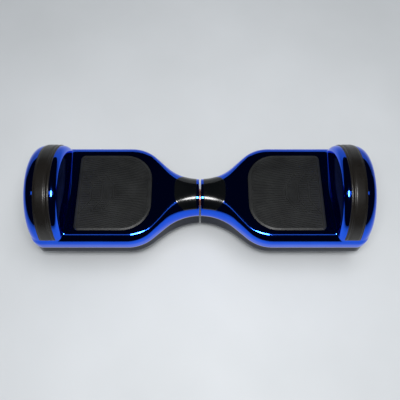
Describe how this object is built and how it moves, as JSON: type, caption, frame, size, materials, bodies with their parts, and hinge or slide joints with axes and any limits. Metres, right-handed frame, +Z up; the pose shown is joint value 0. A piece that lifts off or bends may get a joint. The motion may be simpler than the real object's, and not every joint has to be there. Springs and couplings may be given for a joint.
{
  "type": "self balancing hoverboard",
  "caption": "Self balancing hoverboard: two mirrored halves that twist on a pivot tube, each with a foot pad, a hub motor wheel and a fender.",
  "frame": {"origin": "on the ground, midway between the wheels, below the waist's pivot axis", "axes": "+X along the axle line from the left half to the right half, +Y to the back, +Z up"},
  "size_m": [0.584, 0.1878, 0.1782],
  "materials": {
    "blue_chrome": "mirror blue plating on moulded plastic",
    "black_gloss": "polished",
    "pad_rubber": "matt, grooved",
    "black_plastic": "moulded",
    "strip_rubber": "matt",
    "panel_gloss": "polished",
    "circuit_board": "solder mask",
    "cast_aluminium": "cast",
    "steel": "ground",
    "black_steel": "blackened",
    "tyre_rubber": "matt",
    "rim_silver": "painted silver",
    "magnet": "nickel plated",
    "stator_steel": "laminated",
    "copper": "enamelled",
    "bronze": "turned",
    "battery_wrap": "shrink wrap over metal cells",
    "capacitor_can": "sleeved",
    "brass_pins": "plated",
    "socket_metal": "plated",
    "button_plastic": "satin",
    "cable_sheath": "matt"
  },
  "bodies": {
    "left_half": {"axle_clamp_left": "cast_aluminium", "battery_pack": "battery_wrap", "battery_straps": "steel", "bottom_shell_left": "black_gloss", "centre_harness": "cable_sheath", "clamp_screws_left": "steel", "fender_strip_left": "strip_rubber", "frame_left": "cast_aluminium", "gyro_board_left": "circuit_board", "indicator_board_left": "circuit_board", "motor_axle_left": "steel", "motor_cable_left": "cable_sheath", "motor_windings_left": "copper", "pivot_tube": "steel", "retaining_rings": "black_steel", "shell_screws_left": "black_steel", "stator_core_left": "stator_steel", "stop_pin": "steel", "thrust_washer": "bronze", "top_shell_left": "blue_chrome", "waist_panel_left": "panel_gloss"},
    "right_half": {"axle_clamp_right": "cast_aluminium", "bottom_shell_right": "black_gloss", "clamp_screws_right": "steel", "fender_strip_right": "strip_rubber", "frame_right": "cast_aluminium", "gyro_board_right": "circuit_board", "indicator_board_right": "circuit_board", "motor_axle_right": "steel", "motor_cable_right": "cable_sheath", "motor_windings_right": "copper", "shell_screws_right": "black_steel", "stator_core_right": "stator_steel", "top_shell_right": "blue_chrome", "waist_panel_right": "panel_gloss", "pivot_bushes": "bronze", "main_board": "circuit_board", "board_capacitors": "capacitor_can", "heat_sink": "cast_aluminium", "charge_socket": "socket_metal", "charge_socket_pins": "brass_pins", "button_bezel": "socket_metal", "main_lead": "cable_sheath"},
    "left_wheel": {"tyre_left": "tyre_rubber", "wheel_rim_left": "rim_silver", "hub_cap_left": "black_plastic", "motor_cover_left": "cast_aluminium", "wheel_bearings_left": "steel", "rotor_magnets_left": "magnet"},
    "right_wheel": {"tyre_right": "tyre_rubber", "wheel_rim_right": "rim_silver", "hub_cap_right": "black_plastic", "motor_cover_right": "cast_aluminium", "wheel_bearings_right": "steel", "rotor_magnets_right": "magnet"},
    "left_foot_pad": {"foot_pad_left": "pad_rubber", "treadle_left": "black_plastic"},
    "right_foot_pad": {"foot_pad_right": "pad_rubber", "treadle_right": "black_plastic"},
    "power_button": {"power_button": "button_plastic"}
  },
  "joints": [
    {"name": "waist_twist", "type": "hinge", "parent": "left_half", "child": "right_half", "pos_m": [0, 0, 0.078], "axis": [1, 0, 0], "range_deg": [-10, 10]},
    {"name": "left_wheel_spin", "type": "hinge", "parent": "left_half", "child": "left_wheel", "pos_m": [-0.261, 0, 0.085], "axis": [1, 0, 0], "continuous": true},
    {"name": "right_wheel_spin", "type": "hinge", "parent": "right_half", "child": "right_wheel", "pos_m": [0.261, 0, 0.085], "axis": [1, 0, 0], "continuous": true},
    {"name": "left_pad_press", "type": "slide", "parent": "left_half", "child": "left_foot_pad", "axis": [0, 0, -1], "range_m": [0, 0.0016], "stiffness_N_per_m": 20000, "springref_m": -0.0003},
    {"name": "right_pad_press", "type": "slide", "parent": "right_half", "child": "right_foot_pad", "axis": [0, 0, -1], "range_m": [0, 0.0016], "stiffness_N_per_m": 20000, "springref_m": -0.0003},
    {"name": "power_button_press", "type": "slide", "parent": "right_half", "child": "power_button", "axis": [0, -1, 0], "range_m": [0, 0.0015], "stiffness_N_per_m": 800, "springref_m": -0.0005}
  ]
}
